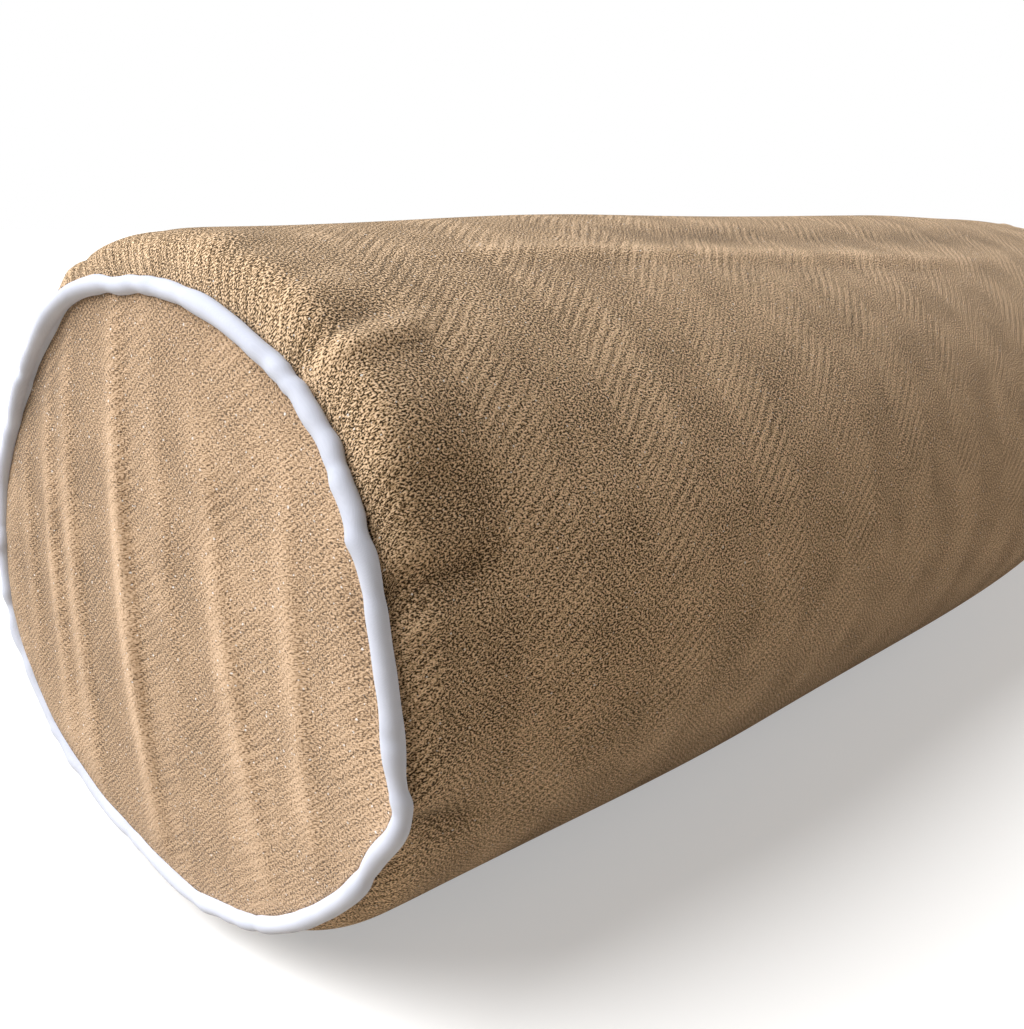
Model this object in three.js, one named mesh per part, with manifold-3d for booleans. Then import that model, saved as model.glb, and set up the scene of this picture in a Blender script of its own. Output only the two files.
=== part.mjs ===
// Bolster pillow with piped ends: a woven tube cover with two round end panels, corded white
// piping in both end seams, a coil zip along the back, and an inner cushion with its filling.
// Millimetres, +Z up. The pillow lies on its side along X. The origin is under its middle, on
// the surface that it lies on; -Y is the front and the zip is at the back.
import * as THREE from 'three';
import Module from 'manifold-3d';
import { mergeVertices } from 'three/addons/utils/BufferGeometryUtils.js';

// ---- cover: overall form ----
const SEAM_TO_SEAM = 600; // between the planes of the two piped end seams
const RIM_HALF_WIDTH = 101.5; // from the axis to the middle of the piping, sideways
const SHOULDER_HALF_WIDTH = 114; // the tube where it has rounded out behind the piping
const BELLY_HALF_WIDTH = 119.5; // the tube over its middle stretch
const BELLY_RUN = 88; // distance over which the shoulder fills out to the belly
const ROUNDING = 5; // how quickly the tube rounds out behind the piping
const SQUASH = 0.905; // every cross-section is this much lower than it is wide
const SINK = 3; // how much of the underside is pressed flat by the pillow's weight
const RIM_DROP = 4.5; // the end seams sit this much lower than the tube's axis
const END_CROWN = 4.5; // how far an end panel swells at its middle
const CLOTH = 1.5; // thickness of the woven cover
const GAP = 0.3; // clearance between pieces that touch

// ---- piping ----
const PIPING_RADIUS = 3;
const PIPING_CLOTH = 0.9;
const PIPING_SLIT = 0.25; // half of the gap between the two layers of the seam allowance
const PIPING_ALLOWANCE = 8; // from the cord's middle to the cut edge
const ALLOWANCE_DIRECTION = 225; // degrees; back and inward from the rim
const PIPING_CORD_RADIUS = PIPING_RADIUS - PIPING_CLOTH - 0.5;

// ---- inner cushion ----
const LINER_INSET = 4.6; // from the cover's outside to the liner's outside
const LINER_CLOTH = 1;
const LINER_CORNER = 14; // rounding where the liner's tube turns to its end
const LINER_HALF_LENGTH = 290;
const LINER_END_RADIUS = 91.5;
const LINER_END_CROWN = 7;
const FILL_GAP = 1.2;

// ---- zip, in the back of the cover ----
const SEGMENTS = 40; // flats round every cross-section
const ZIP_FLAT = 3; // the flat that holds the zip, counted upward from the back
const OPENING_HALF_LENGTH = 199;
const OPENING_HALF_WIDTH = 5.5;
const COIL_HALF_LENGTH = 193.5;
const TAPE_HALF_LENGTH = 207;
const COIL_INNER = 0.8; // from the zip's middle line to a coil's inner edge
const COIL_OUTER = 3.3;
const COIL_TOP = -0.2; // heights above the cover's outer face, along the flat's normal
const COIL_BOTTOM = -1.6;
const TAPE_INNER = 0.9;
const TAPE_BEND = 9; // where the tape follows the tube's curve downward
const TAPE_OUTER = 15;
const TAPE_DROP = 1;
const TAPE_TOP = COIL_BOTTOM - GAP;
const TAPE_BOTTOM = TAPE_TOP - 0.6;
const STOP_LENGTH = 3;
const STOP_OUTER = 3.6;

// ---- zip slider and pull ----
const SLIDER_HALF_LENGTH = 6.5;
const SLIDER_HALF_WIDTH = 4.5;
const SLIDER_NOSE_HALF_WIDTH = 3.2;
const RAIL_INNER = 3.7;
const RAIL_BOTTOM = TAPE_TOP + 0.4;
const TOP_PLATE_BOTTOM = COIL_TOP + GAP;
const TOP_PLATE_TOP = TOP_PLATE_BOTTOM + 0.8;
const BOTTOM_PLATE_TOP = TAPE_BOTTOM - GAP;
const BOTTOM_PLATE_BOTTOM = BOTTOM_PLATE_TOP - 0.7;
const POST_HALF_WIDTH = 0.45;
const POST_LENGTH = 4;
const BAIL_HALF_LENGTH = 4;
const BAIL_HEIGHT = 3.2;
const BAIL_WIRE = 1;
const BAIL_HALF_WIDTH = 0.8;
const PULL_PIVOT = TOP_PLATE_TOP + 1.1;
const PULL_HALF_THICKNESS = 0.55;
const PULL_LENGTH = 27;
const PULL_ROOT_HALF_WIDTH = 3.2;
const PULL_TIP_HALF_WIDTH = 3.8;
const PULL_WINDOW_HALF_WIDTH = 1.7;
const PULL_WINDOW_END = 5;
const SLIDER_REST = COIL_HALF_LENGTH - SLIDER_HALF_LENGTH - 1; // closed, by the top stops

// ---- worked out from the sizes above ----
const SEAM_X = SEAM_TO_SEAM / 2;
const AXIS_HEIGHT = BELLY_HALF_WIDTH * SQUASH - SINK;
const FLOOR_SLOPE = AXIS_HEIGHT / BELLY_HALF_WIDTH;

const materials = {
  weave: { color: 0xb5926a, roughness: 0.95, metalness: 0 },
  piping: { color: 0xeaf0f5, roughness: 0.85, metalness: 0 },
  cord: { color: 0xe9e4d6, roughness: 0.95, metalness: 0 },
  tape: { color: 0xa88a66, roughness: 0.85, metalness: 0 },
  coil: { color: 0xa5855f, roughness: 0.45, metalness: 0 },
  metal: { color: 0x9a958c, roughness: 0.35, metalness: 1 },
  liner: { color: 0xf1efe9, roughness: 0.9, metalness: 0 },
  fill: { color: 0xf7f7f5, roughness: 1, metalness: 0 },
};

const pillow = new THREE.Group();
const wasm = await Module();
wasm.setup();

function addPiece(parent, name, geometry, material) {
  const mesh = new THREE.Mesh(geometry, new THREE.MeshStandardMaterial(materials[material]));
  mesh.name = name;
  parent.add(mesh);
  return mesh;
}

// ---- closed solids, joins and cuts ----

// The same shape with its vertices shared and the empty triangles at its poles removed.
function closedShape(geometry) {
  const bare = new THREE.BufferGeometry();
  bare.setAttribute('position', geometry.getAttribute('position').clone());
  bare.setIndex(geometry.index);
  const merged = mergeVertices(bare, 1e-3);
  const corners = merged.index.array;
  const kept = [];
  for (let i = 0; i < corners.length; i += 3) {
    const [a, b, c] = [corners[i], corners[i + 1], corners[i + 2]];
    if (a !== b && b !== c && c !== a) kept.push(a, b, c);
  }
  merged.setIndex(kept);
  return merged;
}

function toManifold(geometry) {
  const shape = closedShape(geometry);
  return new wasm.Manifold(new wasm.Mesh({
    numProp: 3,
    vertProperties: new Float32Array(shape.getAttribute('position').array),
    triVerts: new Uint32Array(shape.index.array),
  }));
}

function fromManifold(solid) {
  const mesh = solid.getMesh();
  const geometry = new THREE.BufferGeometry();
  geometry.setAttribute('position', new THREE.BufferAttribute(mesh.vertProperties, 3));
  geometry.setIndex(new THREE.BufferAttribute(mesh.triVerts, 1));
  return geometry;
}

function joined(...geometries) {
  const solids = geometries.map(toManifold);
  return fromManifold(solids.reduce((whole, solid) => whole.add(solid)));
}

function cut(geometry, cutter) {
  return fromManifold(toManifold(geometry).subtract(toManifold(cutter)));
}

// ---- the pillow's form ----

function distanceFromSeam(x) {
  return Math.max(0, SEAM_X - Math.abs(x));
}

// Half the width of the cover's outside at a place along the pillow.
function coverHalfWidth(x) {
  const inside = distanceFromSeam(x);
  const shoulder = (SHOULDER_HALF_WIDTH - RIM_HALF_WIDTH) * (1 - Math.exp(-inside / ROUNDING));
  const belly = THREE.MathUtils.smoothstep(inside, 0, BELLY_RUN);
  return RIM_HALF_WIDTH + shoulder + (BELLY_HALF_WIDTH - SHOULDER_HALF_WIDTH) * belly;
}

function axisHeight(x) {
  return AXIS_HEIGHT - RIM_DROP * Math.exp(-distanceFromSeam(x) / ROUNDING);
}

// Lays a round shape down as the pillow lies: lower than it is wide, and pressed flat below.
function settle(geometry) {
  const position = geometry.getAttribute('position');
  for (let i = 0; i < position.count; i += 1) {
    const x = position.getX(i);
    const y = position.getY(i);
    const up = position.getZ(i);
    const depth = Math.max(0, coverHalfWidth(x) - Math.hypot(y, up));
    const height = axisHeight(x) + SQUASH * up;
    position.setXYZ(i, x, y, Math.max(height, depth * FLOOR_SLOPE));
  }
  return geometry;
}

// A profile of [x, distance from the axis] points, turned round the pillow's axis and settled.
function turned(profile) {
  const points = profile.map(([x, radius]) => new THREE.Vector2(radius, x));
  const round = new THREE.LatheGeometry(points, SEGMENTS);
  round.rotateZ(-Math.PI / 2);
  return settle(closedShape(round));
}

function mirrored(profile) {
  return profile.map(([x, radius]) => [-x, radius]).reverse();
}

function closedLoop(profile) {
  return [...profile, profile[0]];
}

// The profile moved sideways by a distance, to the right of its direction of travel.
function offset(profile, distance) {
  return profile.map(([x, radius], i) => {
    const [x0, r0] = profile[Math.max(0, i - 1)];
    const [x1, r1] = profile[Math.min(profile.length - 1, i + 1)];
    const length = Math.hypot(x1 - x0, r1 - r0);
    return [x + (distance * (r1 - r0)) / length, radius - (distance * (x1 - x0)) / length];
  });
}

// ---- woven cover ----

function coverProfile() {
  const edge = PIPING_RADIUS + 0.5;
  const stations = [edge, 5, 7, 10, 15, 24, 40, 60, BELLY_RUN, SEAM_X / 2];
  const leftHalf = [
    [edge - SEAM_X, RIM_HALF_WIDTH - 1],
    ...stations.map((inside) => [inside - SEAM_X, coverHalfWidth(inside - SEAM_X)]),
  ];
  return [...leftHalf, [0, coverHalfWidth(0)], ...mirrored(leftHalf)];
}

function coverTube() {
  const outside = coverProfile();
  const inside = offset(outside, CLOTH).reverse();
  return turned(closedLoop([...outside, ...inside]));
}

// A swelling disc. edgeX is where its outer face meets its rim.
function endDisc(radius, edgeX, crown, thickness) {
  const faceAt = (r) => edgeX + crown * (1 - (r / radius) ** 2);
  const rings = [0, 0.4, 0.75, 1].map((share) => share * radius);
  const back = rings.map((r) => [faceAt(r) - thickness, r]);
  const front = rings.map((r) => [faceAt(r), r]).reverse();
  return [...back, ...front];
}

function addCover(opening) {
  addPiece(pillow, 'cover_body_panel', cut(coverTube(), opening), 'weave');
  const radius = RIM_HALF_WIDTH - PIPING_RADIUS - GAP;
  const disc = endDisc(radius, SEAM_X + 0.5, END_CROWN, CLOTH);
  addPiece(pillow, 'end_panel_left', turned(mirrored(disc)), 'weave');
  addPiece(pillow, 'end_panel_right', turned(disc), 'weave');
}

// ---- piping ----

// Places a point given along and across the seam allowance's direction, at the right-hand rim.
function atRim([along, across]) {
  const direction = THREE.MathUtils.degToRad(ALLOWANCE_DIRECTION);
  return [
    SEAM_X + along * Math.cos(direction) - across * Math.sin(direction),
    RIM_HALF_WIDTH + along * Math.sin(direction) + across * Math.cos(direction),
  ];
}

// An arc round the cord, from one side of the slit the long way to the other.
function arcRound(radius, halfSlit, steps) {
  const start = Math.asin(halfSlit / radius);
  return Array.from({ length: steps + 1 }, (_, i) => {
    const angle = start + ((2 * Math.PI - 2 * start) * i) / steps;
    return [radius * Math.cos(angle), radius * Math.sin(angle)];
  });
}

function pipingWrap() {
  const outer = PIPING_SLIT + PIPING_CLOTH;
  const section = [
    [PIPING_ALLOWANCE, outer],
    ...arcRound(PIPING_RADIUS, outer, 8),
    [PIPING_ALLOWANCE, -outer],
    [PIPING_ALLOWANCE, -PIPING_SLIT],
    ...arcRound(PIPING_RADIUS - PIPING_CLOTH, PIPING_SLIT, 8).reverse(),
    [PIPING_ALLOWANCE, PIPING_SLIT],
  ];
  return closedLoop(section.map(atRim).reverse());
}

function pipingCord() {
  const steps = 8;
  const circle = Array.from({ length: steps }, (_, i) => {
    const angle = (-2 * Math.PI * i) / steps;
    return [PIPING_CORD_RADIUS * Math.cos(angle), PIPING_CORD_RADIUS * Math.sin(angle)];
  });
  return closedLoop(circle.map(atRim));
}

function addPiping() {
  addPiece(pillow, 'piping_left', turned(mirrored(pipingWrap())), 'piping');
  addPiece(pillow, 'piping_right', turned(pipingWrap()), 'piping');
  addPiece(pillow, 'piping_cord_left', turned(mirrored(pipingCord())), 'cord');
  addPiece(pillow, 'piping_cord_right', turned(pipingCord()), 'cord');
}

// ---- inner cushion ----

// The right half of a capped tube's outside: along the belly, then round the corner.
function cushionProfile(inset, halfLength, corner) {
  const turnX = halfLength - corner;
  const cornerHeight = coverHalfWidth(turnX) - inset - corner;
  const belly = [0, SEAM_X / 2, SEAM_X - BELLY_RUN, SEAM_X - 55];
  const turn = [0, 30, 60, 90].map((degrees) => {
    const angle = THREE.MathUtils.degToRad(degrees);
    return [turnX + corner * Math.sin(angle), cornerHeight + corner * Math.cos(angle)];
  });
  return [...belly.map((x) => [x, coverHalfWidth(x) - inset]), ...turn];
}

function bothHalves(rightHalf) {
  return [...mirrored(rightHalf.slice(1)), ...rightHalf];
}

function addInnerCushion() {
  const outside = bothHalves(cushionProfile(LINER_INSET, LINER_HALF_LENGTH, LINER_CORNER));
  const inside = offset(outside, LINER_CLOTH).reverse();
  const tube = closedLoop([...outside, ...inside]);
  addPiece(pillow, 'liner_body', turned(tube), 'liner');

  const disc = endDisc(LINER_END_RADIUS, LINER_HALF_LENGTH, LINER_END_CROWN, LINER_CLOTH);
  addPiece(pillow, 'liner_end_left', turned(mirrored(disc)), 'liner');
  addPiece(pillow, 'liner_end_right', turned(disc), 'liner');

  const skin = LINER_CLOTH + FILL_GAP;
  const fillHalf = cushionProfile(LINER_INSET + skin, LINER_HALF_LENGTH - skin, LINER_CORNER - skin);
  const [fillEndX] = fillHalf.at(-1);
  const fill = [
    ...fillHalf,
    [fillEndX + LINER_END_CROWN * 0.6, LINER_END_RADIUS * 0.6],
    [fillEndX + LINER_END_CROWN * 0.9, 0],
  ];
  addPiece(pillow, 'fill_core', turned(bothHalves(fill)), 'fill');
}

// ---- zip ----

// The corner of the tube's cross-section between two of its flats.
function bellyCorner(index) {
  const angle = (2 * Math.PI * index) / SEGMENTS;
  return new THREE.Vector3(
    0,
    BELLY_HALF_WIDTH * Math.cos(angle),
    AXIS_HEIGHT + SQUASH * BELLY_HALF_WIDTH * Math.sin(angle),
  );
}

// A group on the zip's flat: X along the pillow, Y down the flat, Z out of it.
function zipFrame() {
  const low = bellyCorner(ZIP_FLAT);
  const high = bellyCorner(ZIP_FLAT + 1);
  const rise = high.clone().sub(low);
  const group = new THREE.Group();
  group.position.copy(low).add(high).multiplyScalar(0.5);
  group.rotation.x = -Math.atan2(rise.z, -rise.y);
  return group;
}

function box(x0, x1, y0, y1, z0, z1) {
  const geometry = new THREE.BoxGeometry(x1 - x0, y1 - y0, z1 - z0);
  return geometry.translate((x0 + x1) / 2, (y0 + y1) / 2, (z0 + z1) / 2);
}

// The opening cut through the cover, in the pillow's own frame.
function zipOpening(frame) {
  const [length, width] = [OPENING_HALF_LENGTH, OPENING_HALF_WIDTH];
  frame.updateMatrixWorld();
  return box(-length, length, -width, width, -4, 3).applyMatrix4(frame.matrixWorld);
}

// A strip of constant section along X. side is 1 for the lower strip and -1 for the upper one.
function strip(section, halfLength, side) {
  const outline = section.map(([across, height]) => new THREE.Vector2(side * across, height));
  const options = { depth: 2 * halfLength, bevelEnabled: false };
  const geometry = new THREE.ExtrudeGeometry(new THREE.Shape(outline), options);
  const turn = new THREE.Matrix4().makeBasis(
    new THREE.Vector3(0, 1, 0),
    new THREE.Vector3(0, 0, 1),
    new THREE.Vector3(1, 0, 0),
  );
  return closedShape(geometry.applyMatrix4(turn).translate(-halfLength, 0, 0));
}

function addChain(frame) {
  const tape = [
    [TAPE_INNER, TAPE_TOP],
    [TAPE_BEND, TAPE_TOP],
    [TAPE_OUTER, TAPE_TOP - TAPE_DROP],
    [TAPE_OUTER, TAPE_BOTTOM - TAPE_DROP],
    [TAPE_BEND, TAPE_BOTTOM],
    [TAPE_INNER, TAPE_BOTTOM],
  ];
  const corner = 0.4;
  const coil = [
    [COIL_INNER + corner, COIL_TOP],
    [COIL_OUTER - corner, COIL_TOP],
    [COIL_OUTER, COIL_TOP - corner],
    [COIL_OUTER, COIL_BOTTOM + corner],
    [COIL_OUTER - corner, COIL_BOTTOM],
    [COIL_INNER + corner, COIL_BOTTOM],
    [COIL_INNER, COIL_BOTTOM + corner],
    [COIL_INNER, COIL_TOP - corner],
  ];
  const stopStart = COIL_HALF_LENGTH + GAP;
  const stopEnd = stopStart + STOP_LENGTH;
  for (const [place, side] of [['upper', -1], ['lower', 1]]) {
    addPiece(frame, `zip_tape_${place}`, strip(tape, TAPE_HALF_LENGTH, side), 'tape');
    addPiece(frame, `zip_coil_${place}`, strip(coil, COIL_HALF_LENGTH, side), 'coil');
    const near = Math.min(side * COIL_INNER, side * STOP_OUTER);
    const far = Math.max(side * COIL_INNER, side * STOP_OUTER);
    const stop = closedShape(box(stopStart, stopEnd, near, far, COIL_BOTTOM, COIL_TOP));
    addPiece(frame, `zip_top_stop_${place}`, stop, 'metal');
  }
  const bottom = box(-stopEnd, -stopStart, -STOP_OUTER, STOP_OUTER, COIL_BOTTOM, COIL_TOP);
  addPiece(frame, 'zip_bottom_stop', closedShape(bottom), 'metal');
}

// A slider plate in plan: full width at its mouth (+X), drawn in towards its tail.
function sliderPlate(low, high) {
  const [length, width, nose] = [SLIDER_HALF_LENGTH, SLIDER_HALF_WIDTH, SLIDER_NOSE_HALF_WIDTH];
  const outline = [
    [-length, -nose],
    [1, -width],
    [length - 1.5, -width],
    [length, -nose],
    [length, nose],
    [length - 1.5, width],
    [1, width],
    [-length, nose],
  ].map(([x, y]) => new THREE.Vector2(x, y));
  const options = { depth: high - low, bevelEnabled: false };
  return new THREE.ExtrudeGeometry(new THREE.Shape(outline), options).translate(0, 0, low);
}

function sliderBail() {
  const overlap = 0.2; // its feet reach into the top plate
  const outline = new THREE.Shape();
  outline.moveTo(BAIL_HALF_LENGTH, -overlap);
  outline.lineTo(BAIL_HALF_LENGTH, 0);
  outline.absellipse(0, 0, BAIL_HALF_LENGTH, BAIL_HEIGHT, 0, Math.PI, false);
  outline.lineTo(-BAIL_HALF_LENGTH, -overlap);
  const hole = new THREE.Path();
  const [holeLength, holeHeight] = [BAIL_HALF_LENGTH - BAIL_WIRE, BAIL_HEIGHT - BAIL_WIRE];
  hole.moveTo(holeLength, 0.05);
  hole.absellipse(0, 0.05, holeLength, holeHeight, 0, Math.PI, false);
  outline.holes.push(hole);
  const options = { depth: 2 * BAIL_HALF_WIDTH, bevelEnabled: false, curveSegments: 8 };
  const bail = new THREE.ExtrudeGeometry(outline, options);
  return bail.rotateX(Math.PI / 2).translate(0, BAIL_HALF_WIDTH, TOP_PLATE_TOP);
}

function addSlider(frame) {
  const slider = new THREE.Group();
  slider.position.x = SLIDER_REST;
  frame.add(slider);
  const railStart = 1 - SLIDER_HALF_LENGTH / 2;
  const railEnd = SLIDER_HALF_LENGTH - 1.5;
  const rails = [1, -1].map((side) => {
    const near = Math.min(side * RAIL_INNER, side * SLIDER_HALF_WIDTH);
    const far = Math.max(side * RAIL_INNER, side * SLIDER_HALF_WIDTH);
    return box(railStart, railEnd, near, far, RAIL_BOTTOM, TOP_PLATE_BOTTOM + 0.2);
  });
  const postEnd = SLIDER_HALF_LENGTH - 0.5;
  const post = box(
    postEnd - POST_LENGTH, postEnd,
    -POST_HALF_WIDTH, POST_HALF_WIDTH,
    BOTTOM_PLATE_TOP - 0.2, TOP_PLATE_BOTTOM + 0.2,
  );
  const body = joined(
    sliderPlate(TOP_PLATE_BOTTOM, TOP_PLATE_TOP),
    sliderPlate(BOTTOM_PLATE_BOTTOM, BOTTOM_PLATE_TOP),
    post,
    ...rails,
    sliderBail(),
  );
  addPiece(slider, 'zip_slider', body, 'metal');
  addPiece(slider, 'zip_pull', pullTab(), 'metal');
}

// The pull lies back along the closed chain; its root bar passes under the bail.
function pullTab() {
  const tab = new THREE.Shape();
  const [root, tip] = [PULL_ROOT_HALF_WIDTH, PULL_TIP_HALF_WIDTH];
  const tipStart = PULL_LENGTH - tip;
  tab.moveTo(PULL_HALF_THICKNESS, -root);
  tab.lineTo(PULL_HALF_THICKNESS, root);
  tab.lineTo(-tipStart, tip);
  tab.absarc(-tipStart, 0, tip, Math.PI / 2, (3 * Math.PI) / 2, false);
  const opening = PULL_WINDOW_HALF_WIDTH;
  const window = new THREE.Path();
  window.moveTo(-PULL_HALF_THICKNESS, -opening);
  window.lineTo(-PULL_WINDOW_END, -opening);
  window.lineTo(-PULL_WINDOW_END, opening);
  window.lineTo(-PULL_HALF_THICKNESS, opening);
  tab.holes.push(window);
  const options = { depth: 2 * PULL_HALF_THICKNESS, bevelEnabled: false, curveSegments: 8 };
  const geometry = new THREE.ExtrudeGeometry(tab, options);
  return closedShape(geometry.translate(0, 0, PULL_PIVOT - PULL_HALF_THICKNESS));
}

const zip = zipFrame();
addCover(zipOpening(zip));
addPiping();
addInnerCushion();
pillow.add(zip);
addChain(zip);
addSlider(zip);

export default pillow;
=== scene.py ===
import math

import bmesh
import bpy
import numpy as np
from mathutils import Matrix, Vector


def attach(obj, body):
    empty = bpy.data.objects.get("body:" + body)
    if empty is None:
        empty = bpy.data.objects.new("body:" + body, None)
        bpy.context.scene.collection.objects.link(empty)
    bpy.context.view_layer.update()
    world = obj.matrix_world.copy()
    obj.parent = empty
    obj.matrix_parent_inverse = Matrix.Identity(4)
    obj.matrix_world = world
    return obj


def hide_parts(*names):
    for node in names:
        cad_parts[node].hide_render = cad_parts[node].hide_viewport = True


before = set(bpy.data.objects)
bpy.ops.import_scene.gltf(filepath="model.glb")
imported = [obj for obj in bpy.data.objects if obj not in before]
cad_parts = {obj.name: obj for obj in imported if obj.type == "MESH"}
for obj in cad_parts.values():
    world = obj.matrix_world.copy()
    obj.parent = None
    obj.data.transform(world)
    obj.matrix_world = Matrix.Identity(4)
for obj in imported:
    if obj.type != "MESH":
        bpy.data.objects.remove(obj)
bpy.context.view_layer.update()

# Bolster pillow: the soft pieces and their cloth, round the CAD frame. Lengths are millimetres in
# the frame's axes until a mesh is made. X runs along the pillow, -Y is its front, and angles run
# round it from the back (+Y) over the top.
MM = 0.001
RNG = np.random.default_rng(20)
TAU = 2 * math.pi

# ---- the pillow's form ----
SEAM_X = 300.0  # half the length between the piped end seams
RIM_RADIUS = 101.5
SHOULDER_RADIUS = 114.0
BELLY_RADIUS = 120.4
BELLY_RUN = 190.0  # from an end seam to where the tube is widest
ROUNDING = 3.5  # how soon the tube stands up from its seam
SQUASH = 0.903  # height over width of a cross-section
AXIS_HEIGHT = 105.3
RIM_DROP = 4.5
CLOTH = 1.4
TUBE_EDGE = 2.6  # the tube's cloth starts this far behind the middle of the piping
PANEL_EDGE = 2.2  # an end panel's cloth stops this far inside the middle of the piping
END_CROWN = 3.8  # how far the middle of an end panel stands out
LINER_INSET = 4.8

# ---- the zip's place: on one flat of the CAD tube, which has 40 of them ----
FLAT_RADIUS = 119.5
FLAT_SQUASH = 0.905
FLAT_AXIS_HEIGHT = FLAT_RADIUS * FLAT_SQUASH - 3.0
ZIP_ANGLE = math.radians(31.5)
ZIP_HALF_ANGLE = math.radians(4.5)
ZIP_DISTANCE = FLAT_RADIUS * math.cos(ZIP_HALF_ANGLE)  # from the axis, before the squash
OPENING_HALF_LENGTH = 199.0


def flat_corner(angle):
    return np.array([0.0, FLAT_RADIUS * math.cos(angle),
                     FLAT_AXIS_HEIGHT + FLAT_RADIUS * FLAT_SQUASH * math.sin(angle)])


ZIP_LOW, ZIP_HIGH = (flat_corner(ZIP_ANGLE + side * ZIP_HALF_ANGLE) for side in (-1, 1))
ZIP_ORIGIN = (ZIP_LOW + ZIP_HIGH) / 2
ZIP_DOWN = (ZIP_LOW - ZIP_HIGH) / np.linalg.norm(ZIP_LOW - ZIP_HIGH)
ZIP_OUT = np.array([0.0, -ZIP_DOWN[2], ZIP_DOWN[1]])


def smooth(low, high, value):
    """0 up to low, 1 from high on, with a soft step between. high may be the smaller."""
    share = np.clip((value - low) / (high - low), 0, 1)
    return share * share * (3 - 2 * share)


def turns(count):
    """Angles evenly round one full turn."""
    return np.arange(count) / count * TAU


def turn_between(angle, centre):
    """How far an angle is from a centre, in radians, the short way round."""
    return (angle - centre + math.pi) % TAU - math.pi


def bump(distance, width):
    """1 at no distance, falling off to both sides."""
    return np.exp(-((distance / width) ** 2))


def put_in_scene(name, data):
    thing = bpy.data.objects.new(name, data)
    bpy.context.scene.collection.objects.link(thing)
    return thing


# ---- camera, at the photograph's place ----
def add_camera():
    data = bpy.data.cameras.new("camera")
    data.sensor_width = 36.0
    data.lens = 40.13
    data.clip_start = 0.01
    data.clip_end = 100.0
    camera = put_in_scene("camera", data)
    camera.location = (-0.4609, -0.2877, 0.2093)
    pitch, roll, yaw = math.radians(-14.26), math.radians(-0.11), math.radians(46.97)
    look = Matrix.Rotation(-yaw, 3, "Z") @ Matrix.Rotation(math.pi / 2 + pitch, 3, "X")
    camera.rotation_euler = (look @ Matrix.Rotation(-roll, 3, "Z")).to_euler()
    bpy.context.scene.camera = camera


# ---- light, floor and background ----
ROOM_COLOUR = (0.112, 0.084, 0.054)
FLOOR_COLOUR = (0.47, 0.42, 0.35)
FLOOR_SEEN = (0.62, 0.62, 0.62)
FLOOR_GLOW = 0.40


def add_background():
    """White where the camera sees it, and a dim warm room for everything else."""
    bpy.context.scene.view_settings.view_transform = "Standard"
    world = bpy.data.worlds.new("studio")
    bpy.context.scene.world = world
    world.use_nodes = True
    nodes, links = world.node_tree.nodes, world.node_tree.links
    background = nodes["Background"]
    seen = nodes.new("ShaderNodeLightPath")
    shade = nodes.new("ShaderNodeMix")
    shade.data_type = "RGBA"
    shade.inputs["A"].default_value = (*ROOM_COLOUR, 1)
    shade.inputs["B"].default_value = (1, 1, 1, 1)
    links.new(seen.outputs["Is Camera Ray"], shade.inputs["Factor"])
    links.new(shade.outputs["Result"], background.inputs["Color"])


def add_lights():
    """A very large soft light above the near end, and a weak fill for the far end."""
    sun = bpy.data.lights.new("softbox", "SUN")
    sun.energy = 1.80 * math.pi
    sun.angle = math.radians(55)
    lamp = put_in_scene("softbox", sun)
    lamp.rotation_euler = Vector((-0.55, 0.38, 0.77)).to_track_quat("Z", "Y").to_euler()

    panel = bpy.data.lights.new("far_fill", "AREA")
    panel.shape = "DISK"
    panel.size = 0.9
    panel.energy = 5.0
    fill = put_in_scene("far_fill", panel)
    fill.visible_camera = False
    fill.location = (1.10, -0.85, 0.45)
    away = fill.location - Vector((0.25, 0.0, 0.12))
    fill.rotation_euler = away.to_track_quat("Z", "Y").to_euler()


def add_floor():
    mesh = bpy.data.meshes.new("floor")
    half = 30.0
    corners = [(-half, -half, 0), (half, -half, 0), (half, half, 0), (-half, half, 0)]
    mesh.from_pydata(corners, [], [(0, 1, 2, 3)])
    floor = put_in_scene("floor", mesh)
    graph = Graph("pale_floor")
    seen = graph.add("ShaderNodeLightPath").outputs["Is Camera Ray"]
    graph.feed(graph.shader.inputs["Base Color"], graph.mix(seen, FLOOR_COLOUR, FLOOR_SEEN))
    graph.shader.inputs["Roughness"].default_value = 0.9
    graph.shader.inputs["Emission Color"].default_value = (1, 1, 1, 1)
    graph.feed(graph.shader.inputs["Emission Strength"], graph.math("MULTIPLY", seen, FLOOR_GLOW))
    mesh.materials.append(graph.material)


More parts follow.
